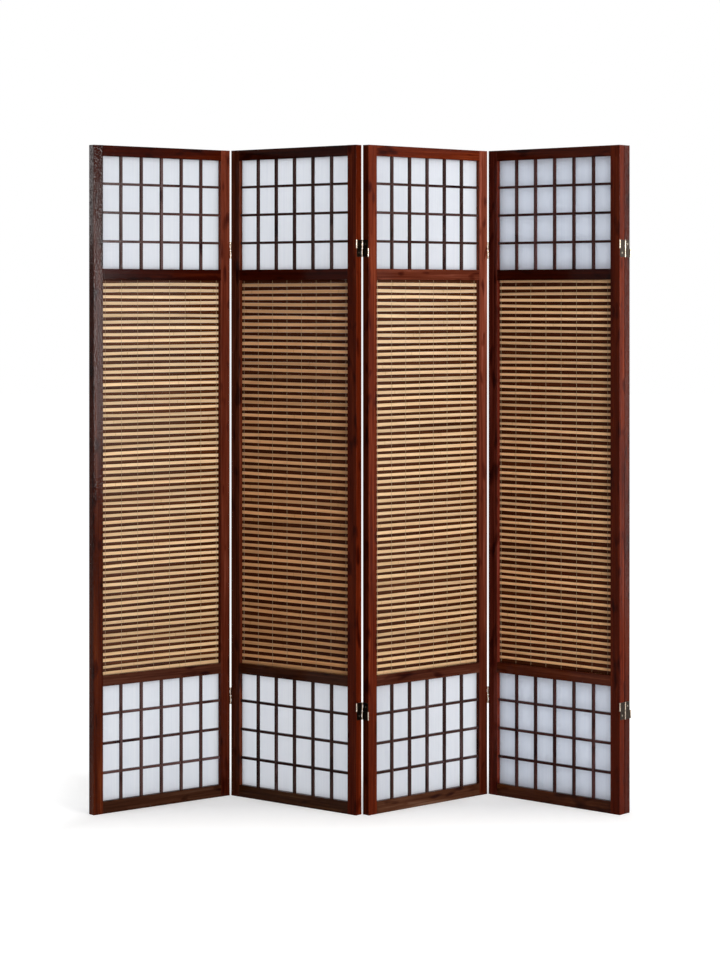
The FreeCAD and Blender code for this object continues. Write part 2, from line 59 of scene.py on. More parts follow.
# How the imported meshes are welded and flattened, and where a piece's edges are sharp or eased.
WELD_DISTANCE = 0.01 * MM
FLAT_ANGLE = math.radians(1)
SHARP_ANGLE = math.radians(40)
BEVEL_ANGLE = math.radians(35)
BEVEL_SEGMENTS = 2
FLAT_FACE_WEIGHT = 100

PANELS = (1, 2, 3, 4, 5)


class Panel:
    """One panel and its own frame: u runs along its front from the left stile, v to its back, and z up."""

    def __init__(self, number):
        self.number = number
        self.body = f"panel_{number}"
        paper = self.node("paper").data
        sheet = max(paper.polygons, key=lambda face: face.area)
        backwards = middle(paper) - middle(self.node("lattice_bars").data)
        self.v = sheet.normal.copy()
        if self.v.dot(backwards) < 0:
            self.v.negate()
        self.u = self.v.cross(UP)
        corners = [vertex.co for vertex in self.node("stiles").data.vertices]
        self.left = min(corner.dot(self.u) for corner in corners)
        self.front = min(corner.dot(self.v) for corner in corners)
        self.thickness = max(corner.dot(self.v) for corner in corners) - self.front

    def node(self, kind):
        return frame["nodes"][f"{self.body}_{kind}"]

    def local(self, point):
        return Vector((point.dot(self.u) - self.left, point.dot(self.v) - self.front, point.z))

    def world(self, u, v, z):
        return self.u * (self.left + u) + self.v * (self.front + v) + UP * z


def middle(mesh):
    """The mean of a mesh's vertices."""
    return sum((vertex.co for vertex in mesh.vertices), Vector()) / len(mesh.vertices)


# Node trees


def new_material(name):
    """An empty material and its tree."""
    made = bpy.data.materials.new(name)
    made.use_nodes = True
    made.node_tree.nodes.clear()
    return made


def add(tree, kind, inputs=None, **settings):
    """A new node. An input is a socket to link, or a value to set."""
    node = tree.nodes.new(kind)
    for key, value in settings.items():
        setattr(node, key, value)
    for key, value in (inputs or {}).items():
        if isinstance(value, bpy.types.NodeSocket):
            tree.links.new(value, node.inputs[key])
        else:
            node.inputs[key].default_value = value
    return node


def attribute(tree, name, output):
    return add(tree, "ShaderNodeAttribute", attribute_name=name).outputs[output]


def scaled(tree, vector, per_metre):
    """A texture's place, with so many of its cells to a metre along and across."""
    return add(tree, "ShaderNodeMapping", {"Vector": vector, "Scale": per_metre}).outputs[0]


def noise(tree, vector, detail=2.0, roughness=0.5, distortion=0.0):
    """Noise with one cell to each unit of the vector."""
    inputs = {
        "Vector": vector,
        "Scale": 1.0,
        "Detail": detail,
        "Roughness": roughness,
        "Distortion": distortion,
    }
    return add(tree, "ShaderNodeTexNoise", inputs).outputs["Fac"]


def maths(tree, operation, first, second):
    return add(tree, "ShaderNodeMath", {0: first, 1: second}, operation=operation).outputs[0]


def ranged(tree, value, low, high, to_low, to_high):
    """The value with its range low to high spread over to_low to to_high, and no further."""
    inputs = {"Value": value, "From Min": low, "From Max": high, "To Min": to_low, "To Max": to_high}
    return add(tree, "ShaderNodeMapRange", inputs).outputs[0]


def mixed(tree, parts):
    """The sum of some values, each multiplied by its share."""
    total = None
    for value, share in parts:
        part = maths(tree, "MULTIPLY", value, share)
        total = part if total is None else maths(tree, "ADD", total, part)
    return total


def ramp(tree, value, stops):
    """A colour ramp with a stop for each place and colour."""
    node = add(tree, "ShaderNodeValToRGB", {"Fac": value})
    elements = node.color_ramp.elements
    while len(elements) < len(stops):
        elements.new(1.0)
    for element, (place, colour) in zip(elements, stops):
        element.position = place
        element.color = (*colour, 1)
    return node.outputs["Color"]


def tinted(tree, colour, tint):
    """A colour multiplied by a tint."""
    return add(tree, "ShaderNodeVectorMath", {0: colour, 1: tint}, operation="MULTIPLY").outputs[0]


def bump(tree, height, depth, before=None):
    """A bump that is depth metres deep for a height of one."""
    inputs = {"Strength": 1.0, "Distance": depth, "Height": height}
    if before:
        inputs["Normal"] = before
    return add(tree, "ShaderNodeBump", inputs).outputs[0]


def surface(tree, shader):
    add(tree, "ShaderNodeOutputMaterial", {"Surface": shader})


def translucent(tree, inputs, light_through):
    """A surface of which a share lets the light through, in the surface's own colour."""
    shader = add(tree, "ShaderNodeBsdfPrincipled", inputs).outputs[0]
    through = add(tree, "ShaderNodeBsdfTranslucent", {"Color": inputs["Base Color"]}).outputs[0]
    surface(tree, add(tree, "ShaderNodeMixShader", {0: light_through, 1: shader, 2: through}).outputs[0])


# Materials

# The range in which most of a noise texture's values lie.
NOISE_RANGE = (0.3, 0.7)

# The wood: its shades from dark to light, how many cells its patterns have to a metre along and across,
# and what share each pattern has in the shade.
WOOD_SHADES = (
    (0.22, (0.014, 0.0010, 0.0004)),
    (0.46, (0.046, 0.0046, 0.0010)),
    (0.60, (0.076, 0.0088, 0.0020)),
    (0.86, (0.190, 0.0330, 0.0100)),
)
WOOD_FIBRES = (22, 650, 650)
WOOD_STREAKS = (3.5, 170, 170)
WOOD_FIGURE = (1.7, 34, 34)
WOOD_BLOTCHES = (15, 46, 46)
WOOD_FIBRE_SHARE = 0.22
WOOD_STREAK_SHARE = 0.46
WOOD_FIGURE_SHARE = 0.44
WOOD_FIGURE_BEND = 1.2
WOOD_BLOTCH_SHARE = 0.26
WOOD_BLOTCH_RANGE = (0.60, 0.74)
# The lacquer: its specular level, its roughness, and the orange peel and specks that a rough coat has.
WOOD_GLOSS = 0.045
WOOD_ROUGHNESSES = (0.07, 0.13)
WOOD_PEEL = (200, 200, 200)
WOOD_PEEL_DEPTH = 0.42 * MM
WOOD_PORE_DEPTH = 0.008 * MM
WOOD_SPECKS = (190, 190, 190)
WOOD_SPECK_RANGE = (0.44, 0.58)
WOOD_SPECK_SHARES = (-1.0, 1.4)


def lacquered_wood():
    """Red-brown stained wood with darker figure, under a gloss lacquer that has an orange-peel surface."""
    made = new_material("lacquered_wood")
    tree = made.node_tree
    grain = attribute(tree, "grain", "Vector")
    # The tint holds each piece's own tone together with painted light, shade and sheen.
    tint = attribute(tree, "tint", "Vector")
    fibres = noise(tree, scaled(tree, grain, WOOD_FIBRES), detail=3.0, roughness=0.6)
    streaks = noise(tree, scaled(tree, grain, WOOD_STREAKS), detail=2.0)
    figure = noise(tree, scaled(tree, grain, WOOD_FIGURE), detail=3.0, distortion=WOOD_FIGURE_BEND)
    blotches = noise(tree, scaled(tree, grain, WOOD_BLOTCHES), detail=1.0)
    peel = noise(tree, scaled(tree, grain, WOOD_PEEL), detail=0.0)
    patterns = ((fibres, WOOD_FIBRE_SHARE), (streaks, WOOD_STREAK_SHARE), (figure, WOOD_FIGURE_SHARE))
    darkening = ranged(tree, blotches, *WOOD_BLOTCH_RANGE, 0.0, WOOD_BLOTCH_SHARE)
    shade = maths(tree, "SUBTRACT", mixed(tree, patterns), darkening)
    colour = tinted(tree, ramp(tree, shade, WOOD_SHADES), tint)
    rough = attribute(tree, "peel", "Fac")
    normal = bump(tree, maths(tree, "MULTIPLY", peel, rough), WOOD_PEEL_DEPTH)
    normal = bump(tree, fibres, WOOD_PORE_DEPTH, normal)
    specks = noise(tree, scaled(tree, grain, WOOD_SPECKS), detail=1.0)
    specks = ranged(tree, specks, *WOOD_SPECK_RANGE, *WOOD_SPECK_SHARES)
    specks = maths(tree, "ADD", maths(tree, "MULTIPLY", specks, rough), 1.0)
    gloss = maths(tree, "MULTIPLY", specks, attribute(tree, "gloss", "Fac"))
    inputs = {
        "Base Color": colour,
        "Roughness": ranged(tree, fibres, *NOISE_RANGE, *WOOD_ROUGHNESSES),
        "Specular IOR Level": maths(tree, "MULTIPLY", gloss, WOOD_GLOSS),
        "Normal": normal,
    }
    surface(tree, add(tree, "ShaderNodeBsdfPrincipled", inputs).outputs[0])
    return made


# The bamboo: as the wood, and the rings of its joints, of which only a share of the pitch shows.
BAMBOO_FIBRES = (5, 900, 900)
BAMBOO_STREAKS = (1.2, 260, 260)
BAMBOO_STAINS = (9, 30, 30)
BAMBOO_FIBRE_SHARE = 0.35
BAMBOO_STREAK_SHARE = 0.40
BAMBOO_STAIN_SHARE = 0.25
BAMBOO_RING_PITCH = 310 * MM
BAMBOO_RING_SHARE = 0.012
BAMBOO_RING_DARKENING_SHARE = 0.22
BAMBOO_RING_HEIGHT_SHARE = 3.0
BAMBOO_FIBRE_DEPTH = 0.05 * MM
BAMBOO_SPECULAR = 0.05
BAMBOO_ROUGHNESS_CHANGES = (-0.06, 0.08)
NATURAL_SHADES = (
    (0.25, (0.55, 0.34, 0.160)),
    (0.50, (0.80, 0.56, 0.320)),
    (0.75, (0.93, 0.73, 0.470)),
)
DARK_SHADES = (
    (0.25, (0.030, 0.0080, 0.0020)),
    (0.50, (0.070, 0.0200, 0.0070)),
    (0.75, (0.120, 0.0400, 0.0180)),
)


def bamboo(name, shades, roughness, light_through):
    """Split bamboo: fine straight fibres, a shade for each slat, and a ring now and then along it."""
    made = new_material(name)
    tree = made.node_tree
    grain = attribute(tree, "grain", "Vector")
    tint = attribute(tree, "tint", "Vector")
    fibres = noise(tree, scaled(tree, grain, BAMBOO_FIBRES), detail=2.0, roughness=0.6)
    streaks = noise(tree, scaled(tree, grain, BAMBOO_STREAKS), detail=2.0)
    stains = noise(tree, scaled(tree, grain, BAMBOO_STAINS), detail=1.0)
    along = add(tree, "ShaderNodeSeparateXYZ", {0: grain}).outputs[0]
    turn = maths(tree, "FRACT", maths(tree, "DIVIDE", along, BAMBOO_RING_PITCH), 0.0)
    ring = ranged(tree, turn, 0.0, BAMBOO_RING_SHARE, 1.0, 0.0)
    patterns = ((fibres, BAMBOO_FIBRE_SHARE), (streaks, BAMBOO_STREAK_SHARE), (stains, BAMBOO_STAIN_SHARE))
    darkening = maths(tree, "MULTIPLY", ring, BAMBOO_RING_DARKENING_SHARE)
    shade = maths(tree, "SUBTRACT", mixed(tree, patterns), darkening)
    colour = tinted(tree, ramp(tree, shade, shades), tint)
    height = maths(tree, "ADD", fibres, maths(tree, "MULTIPLY", ring, BAMBOO_RING_HEIGHT_SHARE))
    roughnesses = (roughness + change for change in BAMBOO_ROUGHNESS_CHANGES)
    inputs = {
        "Base Color": colour,
        "Roughness": ranged(tree, streaks, *NOISE_RANGE, *roughnesses),
        "Specular IOR Level": BAMBOO_SPECULAR,
        "Normal": bump(tree, height, BAMBOO_FIBRE_DEPTH),
    }
    translucent(tree, inputs, light_through)
    return made


# The paper: its patterns run upright, and most of the light goes through it.
PAPER_FIBRES = (420, 420, 40)
PAPER_RIBS = (260, 260, 3)
PAPER_FIBRE_SHARE = 0.4
PAPER_RIB_SHARE = 0.6
PAPER_FIBRE_BEND = 0.8
PAPER_FIBRE_DEPTH = 0.05 * MM
PAPER_ROUGHNESSES = (0.72, 0.88)
PAPER_SPECULAR = 0.2
PAPER_LIGHT_THROUGH = 0.92
PAPER_SHADES = ((0.30, (0.85, 0.870, 0.91)), (0.70, (0.91, 0.925, 0.95)))
# How white each panel's paper is against the mean: partly the sheet's own tone, partly painted light and
# shade set panel by panel.
PAPER_TONE_AND_SHADE_SHARES = {1: 0.94, 2: 0.945, 3: 1.0, 4: 1.015, 5: 1.015}


def shoji_paper(panel):
    """White paper with faint upright ribs and fibres, that lets most of the light through."""
    made = new_material(f"shoji_paper_{panel}")
    tree = made.node_tree
    place = add(tree, "ShaderNodeTexCoord").outputs["Object"]
    along = scaled(tree, place, PAPER_FIBRES)
    fibres = noise(tree, along, detail=3.0, roughness=0.65, distortion=PAPER_FIBRE_BEND)
    ribs = noise(tree, scaled(tree, place, PAPER_RIBS), detail=1.0)
    shade = mixed(tree, ((fibres, PAPER_FIBRE_SHARE), (ribs, PAPER_RIB_SHARE)))
    # The panel's share paints light and shade into the paper's colour.
    colour = tinted(tree, ramp(tree, shade, PAPER_SHADES), (PAPER_TONE_AND_SHADE_SHARES[panel],) * 3)
    inputs = {
        "Base Color": colour,
        "Roughness": ranged(tree, fibres, *NOISE_RANGE, *PAPER_ROUGHNESSES),
        "Specular IOR Level": PAPER_SPECULAR,
        "Normal": bump(tree, fibres, PAPER_FIBRE_DEPTH),
    }
    translucent(tree, inputs, PAPER_LIGHT_THROUGH)
    return made


# The thread: fine fuzz and thicker places.
THREAD_FUZZ = (1500, 2500, 2500)
THREAD_SLUBS = (60, 60, 60)
THREAD_FUZZ_SHARE = 0.5
THREAD_SLUB_SHARE = 0.5
THREAD_SHADES = ((0.30, (0.34, 0.22, 0.13)), (0.70, (0.56, 0.41, 0.27)))
THREAD_ROUGHNESSES = (0.75, 0.95)
THREAD_SPECULAR = 0.2
THREAD_FUZZ_DEPTH = 0.1 * MM


def cotton_thread():
    """Undyed two-ply thread."""
    made = new_material("cotton_thread")
    tree = made.node_tree
    grain = attribute(tree, "grain", "Vector")
    fuzz = noise(tree, scaled(tree, grain, THREAD_FUZZ), detail=2.0)
    slubs = noise(tree, scaled(tree, grain, THREAD_SLUBS), detail=1.0)
    shade = mixed(tree, ((fuzz, THREAD_FUZZ_SHARE), (slubs, THREAD_SLUB_SHARE)))
    inputs = {
        "Base Color": ramp(tree, shade, THREAD_SHADES),
        "Roughness": ranged(tree, fuzz, *NOISE_RANGE, *THREAD_ROUGHNESSES),
        "Specular IOR Level": THREAD_SPECULAR,
        "Normal": bump(tree, fuzz, THREAD_FUZZ_DEPTH),
    }
    surface(tree, add(tree, "ShaderNodeBsdfPrincipled", inputs).outputs[0])
    return made


# The metals: their patches and scratches, and between which shades their colour and roughness change.
METAL_SCRATCHES = (150, 2500, 2500)
METAL_PATCH_SHARE = 0.7
METAL_SCRATCH_SHARE = 0.3
METAL_COLOUR_RANGE = (0.36, 0.64)
METAL_ROUGHNESS_RANGE = (0.35, 0.65)
METAL_ROUGHNESS_CHANGES = (0.10, -0.05)
METAL_DEPTH = 0.04 * MM


def metal(name, rough, spots_per_metre, dark, bright):
    """Plated steel, darker and rougher in patches, and brighter where its tint paints a highlight, on the
    hinges' knuckles.
    """
    made = new_material(name)
    tree = made.node_tree
    grain = attribute(tree, "grain", "Vector")
    patches = noise(tree, scaled(tree, grain, (spots_per_metre,) * 3), detail=3.0, roughness=0.6)
    scratches = noise(tree, scaled(tree, grain, METAL_SCRATCHES), detail=2.0)
    shade = mixed(tree, ((patches, METAL_PATCH_SHARE), (scratches, METAL_SCRATCH_SHARE)))
    colour = ramp(tree, shade, list(zip(METAL_COLOUR_RANGE, (dark, bright))))
    roughnesses = (rough + change for change in METAL_ROUGHNESS_CHANGES)
    inputs = {
        "Base Color": tinted(tree, colour, attribute(tree, "tint", "Vector")),
        "Metallic": 1.0,
        "Roughness": ranged(tree, shade, *METAL_ROUGHNESS_RANGE, *roughnesses),
        "Normal": bump(tree, shade, METAL_DEPTH),
    }
    surface(tree, add(tree, "ShaderNodeBsdfPrincipled", inputs).outputs[0])
    return made


BRONZE_SHADES = {"dark": (0.006, 0.004, 0.003), "bright": (0.036, 0.024, 0.015)}
STEEL_SHADES = {"dark": (0.10, 0.08, 0.06), "bright": (0.35, 0.30, 0.24)}
MATERIALS = {
    "lacquered_wood": lacquered_wood(),
    "natural_bamboo": bamboo("natural_bamboo", NATURAL_SHADES, roughness=0.45, light_through=0.10),
    "dark_bamboo": bamboo("dark_bamboo", DARK_SHADES, roughness=0.35, light_through=0.02),
    "cotton_thread": cotton_thread(),
    "bronzed_steel": metal("bronzed_steel", rough=0.28, spots_per_metre=450, **BRONZE_SHADES),
    "bright_steel": metal("bright_steel", rough=0.24, spots_per_metre=700, **STEEL_SHADES),
}


# Pieces


def solids(shape):
    """The separate solids of a mesh, each as a list of its vertices."""
    taken = set()
    found = []
    for first in shape.verts:
        if first in taken:
            continue
        taken.add(first)
        reached = [first]
        for vertex in reached:
            for edge in vertex.link_edges:
                other = edge.other_vert(vertex)
                if other not in taken:
                    taken.add(other)
                    reached.append(other)
        found.append(reached)
    return found


def extent(points):
    """The lowest and highest corner of some points."""
    low = Vector(min(point[axis] for point in points) for axis in range(3))
    high = Vector(max(point[axis] for point in points) for axis in range(3))
    return low, high


def finish_piece(shape, name, panel, kind, slot):
    """Makes a piece of a bmesh, with its material, and has it stand for its node and ride on its panel."""
    mesh = bpy.data.meshes.new(name)
    shape.to_mesh(mesh)
    shape.free()
    mesh.shade_smooth()
    mesh.set_sharp_from_angle(angle=SHARP_ANGLE)
    piece = bpy.data.objects.new(name, mesh)
    bpy.context.scene.collection.objects.link(piece)
    mesh.materials.append(MATERIALS[slot])
    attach(piece, panel.body)
    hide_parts(f"{panel.body}_{kind}")
    return piece


# How light each piece of wood is: partly its own tone, partly painted light and shade set piece by piece,
# with a painted sheen where a stile is lighter at its top than at its foot. The stiles are from the left,
# each at its foot and its top, and the rails from the lowest. A lighter share is a less red one too, by
# these powers of it.
STAIN_AND_SHADE_POWERS = (1.0, 1.3, 1.6)
STILE_TONE_AND_SHADE_SHARES = {
    1: ((1.08, 0.45), (0.74, 2.30)),
    2: ((0.98, 0.95), (0.95, 0.90)),
    3: ((1.30, 1.95), (0.90, 3.40)),
    4: ((1.08, 0.88), (0.88, 0.93)),
    5: ((1.00, 1.00), (1.20, 1.20)),
}
# How much lighter the outer ends of a panel's stiles are painted than their fronts: painted light and
# shade, for how each end faces the lamps.
END_FACE_LIGHT_SHARES = {1: 1.0, 2: 1.6, 3: 0.55, 4: 1.8, 5: 1.0}
RAIL_TONE_AND_SHADE_SHARES = {
    1: (0.70, 1.00, 0.40, 0.72),
    2: (0.60, 0.45, 0.50, 0.30),
    3: (1.20, 1.00, 1.85, 1.35),
    4: (0.80, 1.20, 0.30, 0.85),
    5: (1.00, 1.00, 1.00, 1.00),
}
# The green and blue of each piece against the common ones, in the same order: a painted reflection, which
# greys the lacquer where it would mirror the white surroundings.
STILE_SHEEN_GREYS = {
    1: ((1.25, 1.1), (1.3, 2.0)),
    2: ((1.9, 3.6), (1.0, 1.0)),
    3: ((1.0, 1.0), (1.4, 2.2)),
    4: ((1.3, 3.0), (1.0, 1.0)),
    5: ((1.0, 1.0), (1.0, 1.0)),
}
RAIL_SHEEN_GREYS = {
    1: ((3.3, 7.5), (2.6, 6.0), (1.0, 1.0), (1.0, 1.0)),
    2: ((3.0, 4.0), (2.6, 4.5), (1.0, 1.0), (1.5, 2.0)),
    3: ((3.0, 6.0), (2.3, 5.0), (1.6, 2.8), (1.0, 1.0)),
    4: ((2.2, 2.8), (1.6, 2.2), (1.1, 1.2), (1.2, 1.3)),
    5: ((1.0, 1.0), (1.0, 1.0), (1.0, 1.0), (1.0, 1.0)),
}
# The tint of each panel's lattice bars: partly a browner, greyer wood than its frame, partly a painted
# sheen in the grey and painted shade set panel by panel.
BAR_TONE_AND_SHEEN_TINTS = {
    1: (1.10, 4.6, 17.5),
    2: (0.56, 2.2, 8.0),
    3: (0.74, 3.1, 11.5),
    4: (0.72, 2.3, 8.5),
    5: (0.60, 2.4, 9.0),
}
# An end face looks along the panel by more than this cosine.
END_FACING = 0.9
# How far one rail, bar or batten is darker or lighter than the others.
CHANGE_SHARES = (0.85, 1.18)
# How rough the lacquer of each panel's stiles is, and how glossy its stiles and rails are.
STILE_PEELS = {1: 0.62, 2: 0.4, 3: 0.35, 4: 0.4, 5: 0.4}
STILE_GLOSSES = {1: (0.64, 0.90), 2: (1.0, 0.45), 3: (0.45, 1.0), 4: (1.0, 0.6), 5: (1.0, 1.0)}
RAIL_GLOSSES = {1: 0.25, 2: 1.0, 3: 0.4, 4: 1.0, 5: 1.0}
OTHER_PEEL = 0.15
# How far in from a panel's faces its hinges' knuckles reach, and how much brighter they are painted, as a
# painted highlight on the barrels.
KNUCKLE_REACH = 1.0 * MM
KNUCKLE_HIGHLIGHT_TINT = (18, 22, 27)
HINGE_KINDS = ("hinge_leaves", "hinge_links")
# Each solid's grain is moved by up to so many metres, so that no two are alike.
FAR = 40
NO_TINT = (1.0, 1.0, 1.0)
# Solids whose feet are this close, in decimals of a metre, count as level when they are put in order.
LEVEL_DECIMALS = 3


def stain_and_shade(share):
    return Vector(share ** power for power in STAIN_AND_SHADE_POWERS)


def tints(panel, kind, index, change):
    """The tints of one solid's foot and top. For stiles, rails and bars they hold painted light, shade and
    sheen as well as the wood's own tone. Solids are counted from the lowest, and the left.
    """
    if kind == "stiles":
        sheen_grey = Vector((1.0, *STILE_SHEEN_GREYS[panel.number][index]))
        foot, top = STILE_TONE_AND_SHADE_SHARES[panel.number][index]
        return stain_and_shade(foot) * sheen_grey, stain_and_shade(top) * sheen_grey
    if kind == "rails":
        tint = stain_and_shade(RAIL_TONE_AND_SHADE_SHARES[panel.number][index] * change)
        tint *= Vector((1.0, *RAIL_SHEEN_GREYS[panel.number][index]))
    elif kind == "lattice_bars":
        tint = Vector(BAR_TONE_AND_SHEEN_TINTS[panel.number]) * change
    elif kind == "battens":
        tint = stain_and_shade(change)
    else:
        tint = Vector(NO_TINT)
    return tint, tint


def part_tint(panel, kind, face):
    """How much brighter a part of a solid is painted: the end faces of stiles, by painted light, and the
    knuckles of hinges, by a painted highlight.
    """
    if kind == "stiles" and abs(face.normal.dot(panel.u)) > END_FACING:
        return Vector((END_FACE_LIGHT_SHARES[panel.number],) * 3)
    if kind in HINGE_KINDS:
        depth = panel.local(face.calc_center_median()).y
        if not KNUCKLE_REACH < depth < panel.thickness - KNUCKLE_REACH:
            return Vector(KNUCKLE_HIGHLIGHT_TINT)
    return Vector(NO_TINT)


def gloss(panel, kind, index):
    if kind == "stiles":
        return STILE_GLOSSES[panel.number][index]
    return RAIL_GLOSSES[panel.number] if kind == "rails" else 1.0


def peel(panel, kind):
    return STILE_PEELS[panel.number] if kind == "stiles" else OTHER_PEEL


def eased(panel, kind, slot, edge, seed):
    """A piece of a node's solids with eased edges, each solid with a grain along it and its own tint."""
    shape = bmesh.new()
    shape.from_mesh(panel.node(kind).data)
    bmesh.ops.remove_doubles(shape, verts=shape.verts, dist=WELD_DISTANCE)
    bmesh.ops.dissolve_limit(shape, angle_limit=FLAT_ANGLE, verts=shape.verts, edges=shape.edges)
    shape.normal_update()
    grain = shape.verts.layers.float_vector.new("grain")
    tint = shape.loops.layers.float_vector.new("tint")
    glosses = shape.verts.layers.float.new("gloss")
    peels = shape.verts.layers.float.new("peel")
    chance = random.Random(seed + panel.number)
    found = []
    for solid in solids(shape):
        places = [panel.local(vertex.co) for vertex in solid]
        found.append((extent(places), solid, places))
    found.sort(key=lambda entry: (round(entry[0][0].z, LEVEL_DECIMALS), entry[0][0].x))
    for index, ((low, high), solid, places) in enumerate(found):
        order = sorted(range(3), key=lambda axis: low[axis] - high[axis])
        offset = Vector(chance.uniform(0, FAR) for axis in range(3))
        change = chance.uniform(*CHANGE_SHARES)
        foot, top = tints(panel, kind, index, change)
        for vertex, place in zip(solid, places):
            vertex[grain] = Vector(place[axis] for axis in order) + offset
            vertex[glosses] = gloss(panel, kind, index)
            vertex[peels] = peel(panel, kind)
            # The tint between foot and top, with its painted light, shade and sheen.
            stained = foot.lerp(top, (place.z - low.z) / (high.z - low.z))
            for loop in vertex.link_loops:
                loop[tint] = stained * part_tint(panel, kind, loop.face)
    piece = finish_piece(shape, f"{panel.body}_{kind}_eased", panel, kind, slot)
    bevel = piece.modifiers.new("Eased edges", "BEVEL")
    bevel.width = edge
    bevel.segments = BEVEL_SEGMENTS
    bevel.limit_method = "ANGLE"
    bevel.angle_limit = BEVEL_ANGLE
    bevel.harden_normals = True
    weights = piece.modifiers.new("Flat faces", "WEIGHTED_NORMAL")
    weights.keep_sharp = True
    weights.weight = FLAT_FACE_WEIGHT


# The mats: how far a slat lies off its line, the gap and the form of its face, its pieces along its length
# and the shares of its height at which its section has a point.
MAT_SEED = 700
SLAT_SHIFT = 0.35 * MM
SLAT_TILT = 1.00 * MM
SLAT_BOW = 0.80 * MM
SLAT_TAPER = 0.45 * MM
SLAT_GAP = 0.05 * MM
SLAT_CROWN = 0.7 * MM
SLAT_EDGE = 0.5 * MM
SLAT_PIECES = 14
SLAT_SECTION_SHARES = (0.0, 0.07, 0.25, 0.5, 0.75, 0.93, 1.0)

# The colour of each panel's bamboo against the mean, partly its own tone and partly painted light and
# shade set panel by panel, and how far one slat's shade goes from it.
NATURAL_TONE_AND_SHADE_TINTS = {
    1: (1.08, 1.13, 1.24),
    2: (0.97, 0.80, 0.72),
    3: (1.00, 1.02, 1.10),
    4: (1.13, 1.04, 1.02),
    5: (1.00, 0.94, 0.88),
}
DARK_TONE_AND_SHADE_TINTS = {
    1: (0.88, 0.85, 0.70),
    2: (0.61, 0.46, 0.30),
    3: (0.72, 0.68, 0.57),
    4: (0.67, 0.50, 0.33),
    5: (0.75, 0.65, 0.55),
}
SLAT_SHADE_SHARE = 0.17
# The mats are redder at their foot than at their top.
MAT_FOOT_TINT = Vector((0.96, 0.86, 0.74))
MAT_TOP_TINT = Vector((1.06, 1.04, 1.01))


class Lie:
    """How a slat lies in its mat: the height of its lower or upper edge at a share of its length."""

    def __init__(self, chance):
        self.shift = chance.uniform(-SLAT_SHIFT, SLAT_SHIFT)
        self.tilt = chance.uniform(-SLAT_TILT, SLAT_TILT)
        self.bow = chance.uniform(-SLAT_BOW, SLAT_BOW)
        self.tapers = [chance.uniform(-SLAT_TAPER, SLAT_TAPER) for side in range(2)]

    def rise(self, share, side):
        across = 2 * share - 1
        bend = self.bow * (1 - 2 * across * across)
        return self.shift + bend + (self.tilt + self.tapers[side]) * across


class Mat:
    """A panel's mat of natural and dark slats, laid so that they nearly touch."""

    def __init__(self, panel):
        self.panel = panel
        self.chance = random.Random(MAT_SEED + panel.number)
        found = []
        for kind in ("natural_slats", "dark_slats"):
            shape = bmesh.new()
            shape.from_mesh(panel.node(kind).data)
            bmesh.ops.remove_doubles(shape, verts=shape.verts, dist=WELD_DISTANCE)
            for solid in solids(shape):
                low, high = extent([panel.local(vertex.co) for vertex in solid])
                found.append((low, high, kind))
            shape.free()
        found.sort(key=lambda slat: slat[0].z)
        self.slats = found
        self.lies = [Lie(self.chance) for slat in found]

    def edge(self, index, side, share):
        """The height of a slat's lower (0) or upper (1) edge. Dark slats fill what the others leave."""
        low, high, kind = self.slats[index]
        beside = index + 1 if side else index - 1
        if not 0 <= beside < len(self.slats):
            return high.z if side else low.z
        lower = min(index, beside)
        middle_of_gap = (self.slats[lower][1].z + self.slats[lower + 1][0].z) / 2
        if kind == "natural_slats":
            rise = self.lies[index].rise(share, side)
        else:
            rise = self.lies[beside].rise(share, 1 - side)
        # The first and last slats keep behind the rails.
        if lower == 0:
            rise = -abs(rise)
        if lower == len(self.slats) - 2:
            rise = abs(rise)
        height = middle_of_gap + rise
        return height - SLAT_GAP if side else height + SLAT_GAP

    def slats_of(self, kind, slot):
        """All the slats of one kind, as one piece."""
        panel = self.panel
        shape = bmesh.new()
        grain = shape.verts.layers.float_vector.new("grain")
        tint = shape.verts.layers.float_vector.new("tint")
        mean = Vector((NATURAL_TONE_AND_SHADE_TINTS if kind == "natural_slats" else DARK_TONE_AND_SHADE_TINTS)[panel.number])
        for index, (low, high, own_kind) in enumerate(self.slats):
            if own_kind != kind:
                continue
            offset = Vector(self.chance.uniform(0, FAR) for axis in range(3))
            shade = self.chance.uniform(-SLAT_SHADE_SHARE, SLAT_SHADE_SHARE)
            height_share = index / (len(self.slats) - 1)
            # The panel's tint in this colour holds painted light and shade as well as the bamboo's own
            # tone.
            colour = mean * MAT_FOOT_TINT.lerp(MAT_TOP_TINT, height_share) * (1 + shade)
            rings = []
            for step in range(SLAT_PIECES + 1):
                share = step / SLAT_PIECES
                u = low.x + share * (high.x - low.x)
                bottom = self.edge(index, 0, share)
                top = self.edge(index, 1, share)
                ring = []
                for part in SLAT_SECTION_SHARES:
                    across = 2 * part - 1
                    depth = low.y + SLAT_CROWN * across * across
                    if part in (0.0, 1.0):
                        depth += SLAT_EDGE
                    ring.append((u, depth, bottom + part * (top - bottom)))
                ring.append((u, high.y, top))
                ring.append((u, high.y, bottom))
                rings.append([shape.verts.new(panel.world(*place)) for place in ring])
                for vertex, place in zip(rings[-1], ring):
                    vertex[grain] = Vector(place) + offset
                    vertex[tint] = colour
            close_tube(shape, rings)
        finish_piece(shape, f"{panel.body}_{kind}_woven", panel, kind, slot)


def close_tube(shape, rings):
    """Faces along a tube of rings, and over its two ends."""
    count = len(rings[0])
    for first, second in zip(rings, rings[1:]):
        for corner in range(count):
            after = (corner + 1) % count
            shape.faces.new((first[corner], first[after], second[after], second[corner]))
    shape.faces.new(list(reversed(rings[0])))
    shape.faces.new(rings[-1])


